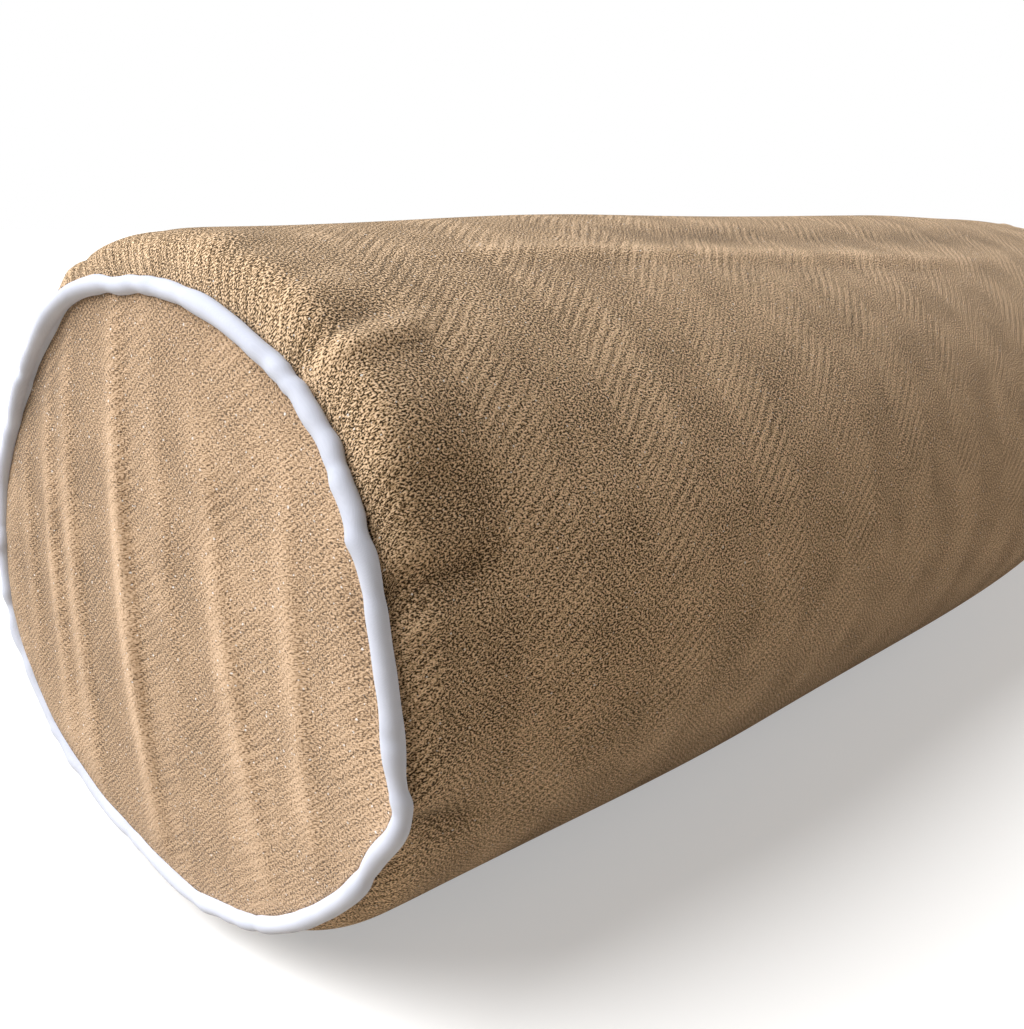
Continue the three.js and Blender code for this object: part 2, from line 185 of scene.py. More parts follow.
# ---- a short way to write node materials ----
class Graph:
    """A node material that is put together call by call. A value is a number or a socket."""

    def __init__(self, name):
        self.material = bpy.data.materials.new(name)
        self.material.use_nodes = True
        self.nodes = self.material.node_tree.nodes
        self.links = self.material.node_tree.links
        self.shader = self.nodes["Principled BSDF"]

    def add(self, kind, **settings):
        node = self.nodes.new(kind)
        for key, value in settings.items():
            setattr(node, key, value)
        return node

    def feed(self, socket, value):
        if isinstance(value, bpy.types.NodeSocket):
            self.links.new(value, socket)
        else:
            socket.default_value = value

    def math(self, operation, *values):
        node = self.add("ShaderNodeMath", operation=operation)
        for socket, value in zip(node.inputs, values):
            self.feed(socket, value)
        return node.outputs[0]

    def vector(self, x, y, z=0.0):
        node = self.add("ShaderNodeCombineXYZ")
        for socket, value in zip(node.inputs, (x, y, z)):
            self.feed(socket, value)
        return node.outputs[0]

    def split(self, vector):
        node = self.add("ShaderNodeSeparateXYZ")
        self.links.new(vector, node.inputs[0])
        return node.outputs

    def mix(self, factor, a, b):
        node = self.add("ShaderNodeMix", data_type="RGBA")
        for name, value in (("Factor", factor), ("A", a), ("B", b)):
            socket = next(s for s in node.inputs if s.name == name and s.enabled)
            if isinstance(value, tuple) and len(value) == 3:
                value = (*value, 1)
            self.feed(socket, value)
        return next(s for s in node.outputs if s.enabled)

    def ramp(self, factor, *stops):
        node = self.add("ShaderNodeValToRGB")
        elements = node.color_ramp.elements
        while len(elements) < len(stops):
            elements.new(0.5)
        for element, (place, colour) in zip(elements, stops):
            element.position = place
            element.color = (*colour, 1)
        self.feed(node.inputs[0], factor)
        return node.outputs[0]

    def range(self, value, low, high, new_low=0.0, new_high=1.0):
        node = self.add("ShaderNodeMapRange", interpolation_type="SMOOTHSTEP")
        for socket, number in zip(node.inputs, (value, low, high, new_low, new_high)):
            self.feed(socket, number)
        return node.outputs[0]

    def noise(self, vector, scale, detail=2.0):
        return self.noise_node(vector, scale, detail).outputs[0]

    def noise_colour(self, vector, scale, detail=2.0):
        return self.noise_node(vector, scale, detail).outputs["Color"]

    def noise_node(self, vector, scale, detail):
        node = self.add("ShaderNodeTexNoise")
        self.feed(node.inputs["Vector"], vector)
        node.inputs["Scale"].default_value = scale
        node.inputs["Detail"].default_value = detail
        return node

    def object_place(self):
        return self.add("ShaderNodeTexCoord").outputs["Object"]

    def bump(self, height, distance):
        node = self.add("ShaderNodeBump")
        node.inputs["Distance"].default_value = distance
        self.feed(node.inputs["Height"], height)
        self.links.new(node.outputs[0], self.shader.inputs["Normal"])

    def finish(self, colour, roughness=0.9, **sockets):
        self.feed(self.shader.inputs["Base Color"], colour)
        self.feed(self.shader.inputs["Roughness"], roughness)
        for name, value in sockets.items():
            self.shader.inputs[name.replace("_", " ")].default_value = value
        return self.material


# ---- materials ----
COLUMN_WIDTH = 0.0235  # of the herringbone, in metres of cloth
FIRST_COLUMN = 0.0375
ALONG_PITCH = 0.0023  # from yarn to yarn across a column
ROUND_PITCH = 0.0019  # from pick to pick along a column
TWILL_REPEAT = 0.0046  # of the slanting ribs, measured along a column
TUFTS_TO_PITCH = 3.7
LOOSENESS = 0.0012  # how far a tuft strays from its place
COLUMN_WANDER = 0.0045  # how far a column's edge strays
# What lifts the yarn toward the eye or sinks it into a gap, where a sunk yarn is painted darker as
# shade. 0 is a gap, and 1 the top of a yarn.
CHECK_LIFT = 0.16
RIB_LIFT = 0.03
PATCH_LIFT = 0.36
STEEP_LIFT = -0.05
# painted light on folds and ridges, painted shade in hollows, from the mesh's relief
RELIEF_PAINTED_LIGHT_LIFT = 0.24
FIBRE_LIFT = 0.60
WEAVE_DEPTH = 0.00035
FLECK_COLOUR = (0.80, 0.76, 0.73)


def herringbone_cloth(name, slopes, contrast, flecks, gap, yarn_colours):
    """Chenille in a broken herringbone, laid out on the UV map "weave", which is in metres of
    cloth: U across the columns and V along them. slopes are the twill's in the two kinds of
    column, contrast is how far the gaps open, and flecks how many pale fibre ends show. The
    mesh's "relief" closes the gaps and lightens the weave on a fold, and opens them and darkens it
    in a hollow: painted light on the folds and painted shade in the hollows. gap is the painted
    shade between the yarns, and yarn_colours are a yarn's from its foot, darkened with painted
    shade, to its top."""
    g = Graph(name)
    weave = g.split(g.add("ShaderNodeUVMap", uv_map="weave").outputs[0])
    flat = g.vector(weave[0], weave[1])
    wander = g.noise(flat, 60.0, 1.0)
    u = g.math("MULTIPLY_ADD", wander, COLUMN_WANDER, weave[0])
    v = weave[1]
    place = g.math("DIVIDE", g.math("SUBTRACT", u, FIRST_COLUMN), COLUMN_WIDTH)
    column = g.math("FLOOR", place)
    steep = g.math("FLOORED_MODULO", column, 2.0)
    shallow_twill, steep_twill = (math.tan(math.radians(slope)) for slope in slopes)
    slope = g.math("MULTIPLY_ADD", steep, steep_twill - shallow_twill, shallow_twill)
    across = g.math("MULTIPLY_ADD", column, -COLUMN_WIDTH, u)
    slub = g.split(g.noise_colour(flat, 420.0, 2.0))
    loose = g.math("MULTIPLY_ADD", g.math("SUBTRACT", slub[0], 0.5), LOOSENESS, v)
    picked = g.math("MULTIPLY_ADD", across, slope, loose)
    rib = g.math("SINE", g.math("MULTIPLY", picked, TAU / TWILL_REPEAT))
    worn = g.range(g.noise(flat, 38.0, 2.0), 0.34, 0.66, 0.55, 1.35)
    lift = g.math("MULTIPLY", rib, g.math("MULTIPLY_ADD", steep, -0.5, 1.0))
    lift = g.math("MULTIPLY", lift, worn)

    skewed = g.vector(g.math("DIVIDE", u, ALONG_PITCH), g.math("DIVIDE", v, ROUND_PITCH))
    tufts = g.noise(skewed, TUFTS_TO_PITCH, 1.5)
    yarns = g.math("SINE", g.math("MULTIPLY", u, TAU / ALONG_PITCH))
    picks = g.math("SINE", g.math("MULTIPLY", loose, TAU / ROUND_PITCH))
    patches = g.noise(flat, 55.0, 4.0)
    level = g.math("MULTIPLY_ADD", g.math("SUBTRACT", tufts, 0.5), contrast, 0.5)
    level = g.math("MULTIPLY_ADD", g.math("MULTIPLY", yarns, picks), CHECK_LIFT, level)
    level = g.math("MULTIPLY_ADD", lift, RIB_LIFT * contrast, level)
    level = g.math("MULTIPLY_ADD", g.math("SUBTRACT", patches, 0.5), PATCH_LIFT, level)
    level = g.math("MULTIPLY_ADD", steep, STEEP_LIFT, level)
    # the mesh's relief: painted light on folds and ridges, painted shade in hollows
    relief = g.add("ShaderNodeAttribute", attribute_name="relief").outputs["Fac"]
    level = g.math("MULTIPLY_ADD", relief, RELIEF_PAINTED_LIGHT_LIFT, level)

    fibres = g.noise(flat, 2600.0, 3.0)
    tone = g.math("MULTIPLY_ADD", g.math("SUBTRACT", fibres, 0.5), FIBRE_LIFT, level)
    # painted shade in the gaps between the yarns
    painted_gap_shade = g.mix(slub[2], tuple(0.5 * c for c in gap), tuple(1.6 * c for c in gap))
    low, middle, high = yarn_colours
    # a yarn's foot is painted darker as shade, its top lighter
    yarn = g.ramp(tone, (0.30, low), (0.50, middle), (0.95, high))
    colour = g.mix(g.range(tone, 0.06, 0.46), painted_gap_shade, yarn)
    spark = g.noise(flat, 900.0, 0.0)
    colour = g.mix(g.range(spark, 1.0 - flecks, 1.05 - flecks), colour, FLECK_COLOUR)
    height = g.math("MULTIPLY_ADD", fibres, 0.25, g.range(level, 0.05, 0.85))
    g.bump(height, WEAVE_DEPTH)
    return g.finish(colour, 0.95, Sheen_Weight=0.20, Sheen_Roughness=0.5,
                    Sheen_Tint=(1.0, 0.92, 0.84, 1), Specular_IOR_Level=0.12)


def plain_cloth(name, light, dark, pitch=0.0005, fuzz=0.15, relief=0.00012):
    """A fine plain weave over and under, in the object's own place."""
    g = Graph(name)
    place = g.object_place()
    x, y, z = g.split(place)
    yarn = TAU / (2 * pitch)
    warp = g.math("SINE", g.math("MULTIPLY", g.math("ADD", x, y), yarn))
    weft = g.math("SINE", g.math("MULTIPLY", g.math("SUBTRACT", z, x), yarn))
    weave = g.math("MULTIPLY", warp, weft)
    soft = g.noise(place, 90.0, 4.0)
    shade = g.math("ADD", g.math("MULTIPLY", weave, 0.12), soft)
    colour = g.ramp(shade, (0.30, dark), (0.62, light))
    g.bump(g.math("MULTIPLY_ADD", soft, 1.5, weave), relief)
    return g.finish(colour, 0.9, Sheen_Weight=fuzz, Sheen_Roughness=0.5, Specular_IOR_Level=0.25)


def fibre_material():
    g = Graph("fill_fibre")
    place = g.object_place()
    fibres = g.noise(place, 240.0, 6.0)
    clumps = g.noise(place, 30.0, 3.0)
    shade = g.math("ADD", g.math("MULTIPLY", fibres, 0.5), g.math("MULTIPLY", clumps, 0.5))
    colour = g.ramp(shade, (0.30, (0.72, 0.71, 0.69)), (0.65, (0.93, 0.93, 0.92)))
    g.bump(shade, 0.003)
    return g.finish(colour, 1.0, Sheen_Weight=0.4)


def metal_material():
    """Antique nickel, brushed along its length and rubbed brighter in places."""
    g = Graph("zip_metal")
    place = g.object_place()
    x, y, z = g.split(place)
    brushed = g.noise(g.vector(g.math("MULTIPLY", x, 0.08), y, z), 5200.0, 3.0)
    wear = g.noise(place, 320.0, 5.0)
    colour = g.ramp(wear, (0.38, (0.24, 0.22, 0.19)), (0.66, (0.42, 0.395, 0.36)))
    rough = g.math("MULTIPLY_ADD", brushed, 0.26, 0.34)
    g.bump(g.math("MULTIPLY_ADD", wear, 0.5, brushed), 0.00002)
    return g.finish(colour, rough, Metallic=1.0)


def nylon_material():
    g = Graph("zip_coil")
    place = g.object_place()
    streak = g.noise(place, 700.0, 3.0)
    colour = g.ramp(streak, (0.3, (0.36, 0.25, 0.15)), (0.7, (0.50, 0.37, 0.24)))
    g.bump(streak, 0.00004)
    return g.finish(colour, g.math("MULTIPLY_ADD", streak, 0.2, 0.28))


MATERIALS = {
    # The tube's gaps hold deeper painted shade than the end panels'.
    "tube_weave": herringbone_cloth(
        "tube_weave", (39, -61), 3.3, 0.21, (0.040, 0.024, 0.010),
        ((0.28, 0.176, 0.082), (0.54, 0.361, 0.202), (0.87, 0.637, 0.425)),
    ),
    "end_weave": herringbone_cloth(
        "end_weave", (31, 46), 1.85, 0.24, (0.12, 0.088, 0.062),
        ((0.36, 0.234, 0.134), (0.53, 0.361, 0.226), (0.72, 0.523, 0.358)),
    ),
    "piping": plain_cloth(
        "piping_cotton", (0.60, 0.64, 0.755), (0.54, 0.58, 0.695), 0.0003, 0.1, 0.00002
    ),
    "cord": plain_cloth("filler_cord", (0.86, 0.83, 0.75), (0.70, 0.66, 0.56), 0.0008),
    "tape": plain_cloth("zip_tape", (0.47, 0.34, 0.22), (0.36, 0.25, 0.15), 0.0006),
    "liner": plain_cloth("liner_cotton", (0.88, 0.87, 0.83), (0.78, 0.77, 0.72), 0.0007),
    "thread": plain_cloth("seam_thread", (0.60, 0.46, 0.31), (0.44, 0.32, 0.20), 0.0003),
    "fibre": fibre_material(),
    "metal": metal_material(),
    "coil": nylon_material(),
}


# ---- meshes from grids of points ----
def add_object(name, vertices, faces, material, uv=None, relief=None):
    """A smooth mesh from millimetres. uv holds each face's corners, and relief a number for each
    vertex that the weave reads."""
    mesh = bpy.data.meshes.new(name)
    mesh.from_pydata((np.asarray(vertices, float) * MM).tolist(), [], faces)
    if uv is not None:
        layer = mesh.uv_layers.new(name="weave")
        corners = np.concatenate([np.asarray(u, float).reshape(-1, 2) for u in uv]) * MM
        layer.data.foreach_set("uv", corners.ravel())
    if relief is not None:
        layer = mesh.attributes.new("relief", "FLOAT", "POINT")
        layer.data.foreach_set("value", np.clip(relief, -1, 1).ravel())
    mesh.validate()
    mesh.polygons.foreach_set("use_smooth", [True] * len(mesh.polygons))
    mesh.materials.append(MATERIALS[material])
    return put_in_scene(name, mesh)


def change_mesh(piece, change):
    work = bmesh.new()
    work.from_mesh(piece.data)
    change(work)
    work.to_mesh(piece.data)
    work.free()


def drop_loose_points(work):
    loose = [v for v in work.verts if not v.link_faces]
    bmesh.ops.delete(work, geom=loose, context="VERTS")


def turn_faces_outward(work):
    bmesh.ops.recalc_face_normals(work, faces=work.faces)


def apply_modifiers(piece):
    """Turns a piece's modifiers into plain mesh."""
    bpy.context.view_layer.update()
    graph = bpy.context.evaluated_depsgraph_get()
    mesh = bpy.data.meshes.new_from_object(
        piece.evaluated_get(graph), preserve_all_data_layers=True, depsgraph=graph
    )
    piece.modifiers.clear()
    old = piece.data
    piece.data = mesh
    mesh.name = piece.name
    bpy.data.meshes.remove(old)


def thicken(piece, thickness):
    solid = piece.modifiers.new("thickness", "SOLIDIFY")
    solid.thickness = thickness * MM
    solid.offset = -1.0
    solid.use_even_offset = False
    apply_modifiers(piece)


def stands_for(piece, body, slot, *nodes):
    """Fixes a piece to its body, and puts it in the place of CAD nodes."""
    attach(piece, body)
    if nodes:
        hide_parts(*nodes)


def sweep_faces(rows, columns, close_rows, close_columns):
    """Quads over a grid of points, numbered row by row."""
    faces = []
    for i in range(rows if close_rows else rows - 1):
        for j in range(columns if close_columns else columns - 1):
            i2, j2 = (i + 1) % rows, (j + 1) % columns
            faces.append((i * columns + j, i * columns + j2, i2 * columns + j2, i2 * columns + j))
    return faces


# ---- the rim of an end seam ----
# Each bump is (angle in degrees, width in degrees, outward mm, inward along the pillow mm).
NEAR_RIM_BUMPS = [
    (28, 14, -1.6, 0.0),
    (66, 16, 3.6, 0.0),
    (84, 3.5, -0.9, 0.4),
    (110, 25, 0.8, 0.0),
    (137, 12, -0.2, 1.6),  # drawn back where the long fold of the tube runs into it
    (148, 10, -1.0, 0.0),
    (171, 15, -3.8, 0.0),
    (198, 6.5, 5.0, 0.0),  # the sharp corner low at the front
    (213, 10, 1.6, 0.0),
    (258, 4, -1.2, 0.0),
    (286, 19, -5.8, 0.0),  # pressed up where it meets the surface below
    (308, 8, -2.0, 0.0),
    (344, 14, 4.6, 0.0),
]
FAR_RIM_BUMPS = [
    (52, 16, 2.4, 1.5),
    (96, 12, -1.4, 0.0),
    (128, 14, 2.6, 2.0),
    (176, 20, 1.6, 0.0),
    (214, 10, -2.0, 0.6),
    (268, 26, -4.0, 0.0),
    (322, 14, -2.2, 0.0),
    (350, 16, 1.6, 1.0),
]


def rim_shift(angle, end):
    """(outward, inward) in mm of an end seam against a plain round rim."""
    near = end < 0
    outward = np.zeros_like(angle) if near else -1.0 + 1.2 * np.cos(angle + 0.6)
    inward = np.zeros_like(angle)
    for degrees, width, out, back in NEAR_RIM_BUMPS if near else FAR_RIM_BUMPS:
        here = bump(turn_between(angle, math.radians(degrees)), math.radians(width))
        outward = outward + out * here
        inward = inward + back * here
    return outward, inward


def rim_points(angle, end):
    """The middle of the piping, at angles round an end seam."""
    outward, inward = rim_shift(angle, end)
    radius = RIM_RADIUS + outward
    x = end * (SEAM_X - inward)
    y = radius * np.cos(angle)
    z = AXIS_HEIGHT - RIM_DROP + SQUASH * radius * np.sin(angle)
    return np.stack([x, y, z], axis=-1)


# ---- the cover's tube ----
def arc_from_top(angle):
    """Millimetres of cloth round the belly from the top line, growing towards the front."""
    steps = np.linspace(0, TAU, 721)
    rate = BELLY_RADIUS * np.sqrt(np.cos(steps) ** 2 + (SQUASH * np.sin(steps)) ** 2)
    length = np.concatenate([[0], np.cumsum((rate[1:] + rate[:-1]) / 2 * np.diff(steps))])
    return np.interp(angle - math.pi / 2, np.concatenate([steps - TAU, steps[1:]]),
                     np.concatenate([length - length[-1], length[1:]]))


def path_fold(s, v, points, width, height, lean=0.0):
    """Height of a fold that runs along a path of (distance from the near seam, arc from the top)
    points. It fades at both ends, except at the near seam where it starts there. lean gives it a
    trough on its lower side."""
    best = np.full(s.shape, 1e9)
    side = np.zeros(s.shape)
    along = np.zeros(s.shape)
    lengths = [math.dist(a, b) for a, b in zip(points, points[1:])]
    total = sum(lengths)
    done = 0.0
    for (s0, v0), (s1, v1), length in zip(points, points[1:], lengths):
        ds, dv = (s1 - s0) / length, (v1 - v0) / length
        t = np.clip((s - s0) * ds + (v - v0) * dv, 0, length)
        away = np.hypot(s - s0 - t * ds, v - v0 - t * dv)
        closer = away < best
        best = np.where(closer, away, best)
        side = np.where(closer, (v - v0) * ds - (s - s0) * dv, side)
        along = np.where(closer, (done + t) / total, along)
        done += length
    fade = smooth(0, 0.18, along) * smooth(0, 0.35, 1 - along)
    starts_at_near_seam = points[0][0] <= 0
    if starts_at_near_seam:
        fade = smooth(0, 0.45, 1 - along)
    signed = np.where(side < 0, -best, best)
    shape = bump(signed, width) - lean * bump(signed - 1.7 * width, width)
    return height * fade * shape


# Folds of the cover: path (along, arc from the top), half-width, height and trough.
TUBE_FOLDS = [
    ([(0, 84), (14, 86), (28, 83), (46, 75)], 3.2, 2.2, 0.0),
    ([(0, 79), (9, 79), (18, 77), (34, 71)], 3.0, -1.7, 0.0),
    ([(0, 66), (20, 62), (36, 58)], 5.0, 1.0, 0.0),
    ([(24, 46), (60, 48), (100, 51), (180, 60), (240, 65), (330, 72), (470, 78)], 5.0, 1.5, 0.25),
    ([(120, 36), (300, 50), (560, 58)], 10.0, -1.6, 0.0),
    ([(0, 151), (15, 152), (40, 148)], 3.6, -2.0, -0.5),
    ([(0, 124), (20, 127), (40, 130)], 5.0, -1.0, -0.6),
    ([(0, 221), (10, 223), (34, 233)], 3.2, -1.8, -0.6),
    ([(0, 166), (20, 162)], 4.0, 0.8, 0.5),
    ([(0, 20), (26, 24)], 6.0, 0.9, 0.5),
    ([(600, 50), (585, 54), (548, 64)], 5.5, -3.8, -0.5),
    ([(600, 96), (575, 92), (548, 94)], 5.5, 1.8, 0.8),
    ([(600, 150), (574, 148)], 4.0, -1.6, -0.4),
    ([(600, 8), (570, 14)], 5.0, 1.4, 0.6),
    ([(0, -60), (30, -56), (56, -58)], 5.0, 1.5, 0.7),
    ([(600, -70), (560, -64)], 5.0, -1.6, -0.5),
    ([(0, -165), (30, -170)], 4.5, 1.4, 0.6),
    ([(600, -190), (566, -182)], 4.5, 1.4, 0.7),
]


def all_folds(s, v):
    return sum(path_fold(s, v, *fold) for fold in TUBE_FOLDS)


def draw_puckers(count=26):
    """Small gathers where the tube is eased into an end seam: angle, width, height, reach and
    how far each drifts round as it runs along."""
    return [(RNG.uniform(0, TAU), RNG.uniform(0.025, 0.06), RNG.uniform(-0.9, 0.7),
             RNG.uniform(7, 24), RNG.uniform(-0.006, 0.006)) for _ in range(count)]


SWELL_GIRTH = 707.0  # the arc that a swell's waves round the tube are counted on


def draw_swells(count=9):
    """The slow rise and fall of a filled tube: length, waves round, phase and height."""
    return [(RNG.uniform(110, 320), RNG.integers(1, 6), RNG.uniform(0, TAU),
             RNG.uniform(0.09, 0.27)) for _ in range(count)]


NEAR_PUCKERS = draw_puckers()
FAR_PUCKERS = draw_puckers()
SWELLS = draw_swells()


def seam_puckers(angle, inside, puckers):
    """The gathers of one seam, at distances inside it."""
    total = np.zeros(angle.shape)
    for centre, width, height, reach, drift in puckers:
        near = turn_between(angle, centre + drift * inside)
        total += height * bump(near, width) * np.exp(-inside / reach)
    return total * smooth(0.5, 5.0, inside)


def unevenness(s, v):
    total = np.zeros(s.shape)
    for length, waves, phase, size in SWELLS:
        total += size * np.sin(TAU * s / length + waves * TAU * v / SWELL_GIRTH + phase)
    return total


FRONT_TUCK = 9.0  # how far the cover lies in behind the near seam, low at the front


def front_tuck(angle, inside):
    """The cover lies in at the lower front and comes out again along the pillow."""
    around = smooth(138, 168, np.degrees(angle) % 360) * smooth(226, 198, np.degrees(angle) % 360)
    return -FRONT_TUCK * around * smooth(100, 2, inside)


# Broad hollows and swellings: along, angle, their two half-widths, height.
TUBE_HOLLOWS = [
    (600, 234, 130, 46, -17.0),
    (560, 78, 60, 34, 3.0),
    (190, 84, 120, 42, -2.0),
    (330, 95, 110, 40, -1.0),
    (12, 62, 32, 24, -1.0),
]


def hollows(s, angle):
    total = np.zeros(s.shape)
    for along, degrees, reach, spread, height in TUBE_HOLLOWS:
        around = bump(turn_between(angle, math.radians(degrees)), math.radians(spread))
        total += height * around * bump(s - along, reach)
    return total


def clear_of_zip(x, angle):
    """1 away from the zip, falling to 0 beside it, where the cover lies on the tape."""
    across = np.abs(turn_between(angle, ZIP_ANGLE))
    reach = smooth(math.radians(6), math.radians(15), across)
    return np.maximum(reach, smooth(212, 250, np.abs(x)))


RIM_REACH = 26.0  # how far along the tube the shape of its rim is felt
FLOOR_SOFTNESS = 1.6  # how softly the cloth rounds onto the surface it lies on


def tube_points(x, angle, folds=True):
    """Points of the cover's outer face, at places x along and angles round."""
    inside = np.maximum(0, SEAM_X - np.abs(x))
    end = np.where(x < 0, -1, 1)
    rise = 1 - np.exp(-np.maximum(0, inside - TUBE_EDGE) / ROUNDING)
    seam_radius = RIM_RADIUS - 1.0
    radius = seam_radius + (SHOULDER_RADIUS - seam_radius) * rise
    radius = radius + (BELLY_RADIUS - SHOULDER_RADIUS) * smooth(0, BELLY_RUN, inside)
    radius = radius + front_tuck(angle, inside) * rise
    outward, inward = np.where(end < 0, rim_shift(angle, -1), rim_shift(angle, 1))
    follow = np.exp(-inside / RIM_REACH)
    radius = radius + outward * follow
    s, v = x + SEAM_X, arc_from_top(angle)
    if folds:
        extra = unevenness(s, v) * smooth(0, 60, inside)
        extra += hollows(s, angle) * smooth(0, 12, inside)
        extra += seam_puckers(angle, s, NEAR_PUCKERS)
        extra += seam_puckers(angle, 2 * SEAM_X - s, FAR_PUCKERS)
        extra += all_folds(s, v)
        extra += settled_by(x, angle)
        extra *= smooth(TUBE_EDGE, TUBE_EDGE + 3.5, inside)
        radius = radius + extra * clear_of_zip(x, angle)
    off_zip = turn_between(angle, ZIP_ANGLE)
    flat = ZIP_DISTANCE / np.cos(np.clip(off_zip, -1, 1))
    on_flat = smooth(2.6 * ZIP_HALF_ANGLE, ZIP_HALF_ANGLE, np.abs(off_zip)) * smooth(50, 86, inside)
    radius = radius + (np.minimum(flat, FLAT_RADIUS) - radius) * on_flat
    y = radius * np.cos(angle)
    height = AXIS_HEIGHT - RIM_DROP * np.exp(-inside / ROUNDING)
    z = height + SQUASH * radius * np.sin(angle)
    z = (z + np.sqrt(z * z + FLOOR_SOFTNESS)) / 2
    return np.stack([x - end * inward * follow, y, z], axis=-1)


# ---- how the filled cover settles ----
SETTLE_COLUMNS = 110
SETTLE_FRAMES = 20
SETTLE_CAP = 3.2  # the farthest that settling moves the cloth
SEAM_EASE = 0.07  # the extra cloth that is eased into each end seam


def settle_places():
    """Places along the coarse grid, closer together by the seams."""
    half = np.concatenate([TUBE_EDGE + np.arange(0, 64, 4.5), np.linspace(72, 300, 26)])
    return np.concatenate([half - SEAM_X, (SEAM_X - half)[::-1][1:]])


def hold_as_cloth(piece, pins, ease):
    """A blown-up cloth, held by its pins, with more cloth than room where it is eased."""
    cloth = piece.modifiers.new("cloth", "CLOTH")
    settings = cloth.settings
    settings.quality = 6
    settings.mass = 0.25
    settings.tension_stiffness = 40
    settings.compression_stiffness = 40
    settings.shear_stiffness = 12
    settings.bending_stiffness = 0.4
    settings.use_pressure = True
    settings.uniform_pressure_force = 4
    settings.effector_weights.gravity = 0
    settings.vertex_group_mass = pins.name
    settings.vertex_group_shrink = ease.name
    settings.shrink_max = -SEAM_EASE
    cloth.point_cache.frame_end = SETTLE_FRAMES


def settle_cover():
    """Blows the tube up between its two fixed end seams, as cloth, and returns how far in or out
    each point of a coarse grid has moved from the smooth form."""
    xs = settle_places()
    x, angle = np.meshgrid(xs, turns(SETTLE_COLUMNS), indexing="ij")
    start = tube_points(x, angle, folds=False)
    faces = sweep_faces(len(xs), SETTLE_COLUMNS, False, True)
    piece = add_object("settling", start.reshape(-1, 3), faces, "liner")
    pins = piece.vertex_groups.new(name="seams")
    ease = piece.vertex_groups.new(name="ease")
    for i, place in enumerate(xs):
        row = list(range(i * SETTLE_COLUMNS, (i + 1) * SETTLE_COLUMNS))
        if i in (0, len(xs) - 1):
            pins.add(row, 1.0, "REPLACE")
        ease.add(row, float(smooth(70, 0, SEAM_X - abs(place))), "REPLACE")
    hold_as_cloth(piece, pins, ease)
    for step in range(1, SETTLE_FRAMES + 1):
        bpy.context.scene.frame_set(step)
    graph = bpy.context.evaluated_depsgraph_get()
    settled = np.empty(len(piece.data.vertices) * 3)
    piece.evaluated_get(graph).data.vertices.foreach_get("co", settled)
    bpy.context.scene.frame_set(1)
    settled = settled.reshape(start.shape) / MM
    mesh = piece.data
    bpy.data.objects.remove(piece)
    bpy.data.meshes.remove(mesh)
    outward = start - [0, 0, AXIS_HEIGHT]
    outward[..., 0] = 0
    outward /= np.linalg.norm(outward, axis=-1, keepdims=True)
    moved = ((settled - start) * outward).sum(axis=-1)
    moved -= moved.mean(axis=1, keepdims=True)
    return np.clip(moved, -SETTLE_CAP, SETTLE_CAP)


def settled_by(x, angle):
    """The settling at any place on the tube, read from the coarse grid."""
    if SETTLED is None:
        return np.zeros(x.shape)
    rows = np.interp(x, settle_places(), np.arange(len(SETTLED)))
    columns = (angle % TAU) / TAU * SETTLE_COLUMNS
    i = np.clip(rows.astype(int), 0, len(SETTLED) - 2)
    j = columns.astype(int) % SETTLE_COLUMNS
    j2 = (j + 1) % SETTLE_COLUMNS
    a, b = rows - i, columns - np.floor(columns)
    a, b = a * a * (3 - 2 * a), b * b * (3 - 2 * b)
    low = SETTLED[i, j] * (1 - b) + SETTLED[i, j2] * b
    high = SETTLED[i + 1, j] * (1 - b) + SETTLED[i + 1, j2] * b
    return low * (1 - a) + high * a


# ---- the tube as a mesh ----
def row_places():
    """Places along the tube, close together at the seams and at the zip's ends."""
    edge = TUBE_EDGE + 0.4 * np.arange(16) ** 1.15
    end = np.concatenate([edge, np.arange(12.8, 46.0, 2.1)])
    middle = np.linspace(48.0, 96.0, 16)
    zip_end = np.array([98.5, 100.0, 101.0, 102.0, 104.0, 107.0])
    half = np.concatenate([end, middle, zip_end, np.linspace(110.5, 300.0, 48)])
    return np.concatenate([half - SEAM_X, (SEAM_X - half)[::-1][1:]])


STITCH_LINE = 8.2
# Distances from the zip's middle line, with how far the cloth drops there: its turned-in edge
# beside the opening, and the seam that runs on from the opening to each end.
HEM = [(5.5, 1.0), (5.7, 0.55), (6.1, 0.18), (6.8, 0.0), (7.6, 0.0), (STITCH_LINE, 0.26),
       (8.8, 0.0), (10.0, 0.0)]
GAP_COLUMNS = [(0.0, 0.9), (0.7, 0.45), (1.8, 0.05), (3.6, 0.0)]
PLAIN_COLUMNS = 226  # round the rest of the tube
HIGHEST_FOLD = 3.0  # a fold this high closes the gaps of the weave as far as they go and gets the most painted light


def column_places():
    """Angles round, the drop of each beside the opening and beyond it, and is it in the gap."""
    stretch = math.hypot(math.sin(ZIP_ANGLE), SQUASH * math.cos(ZIP_ANGLE))
    half = [(a, 0.0, d, True) for a, d in GAP_COLUMNS] + [(a, d, 0.0, False) for a, d in HEM]
    both = [(-a, d, e, g) for a, d, e, g in half[:0:-1]] + half
    angles = [ZIP_ANGLE + math.atan(a / stretch / ZIP_DISTANCE) for a, *_ in both]
    first, last = angles[-1], angles[0] + TAU
    rest = np.linspace(first, last, PLAIN_COLUMNS + 1)[1:-1]
    kinds = [column[1:] for column in both] + [(0.0, 0.0, False)] * len(rest)
    return np.concatenate([angles, rest]), *(np.array(values) for values in zip(*kinds))


def cloth_lengths(x, angles):
    """How far along and how far round the cloth each point of the grid lies, with the first
    column once more where the grid closes."""
    plain = tube_points(x, np.broadcast_to(angles, x.shape), folds=False)
    steps = np.linalg.norm(plain[1:] - plain[:-1], axis=-1)
    u = np.concatenate([np.zeros((1, len(angles))), np.cumsum(steps, axis=0)])
    u = u - u[len(u) // 2] + SEAM_X
    return np.hstack([u, u[:, :1]]), arc_from_top(np.append(angles, angles[0] + TAU))


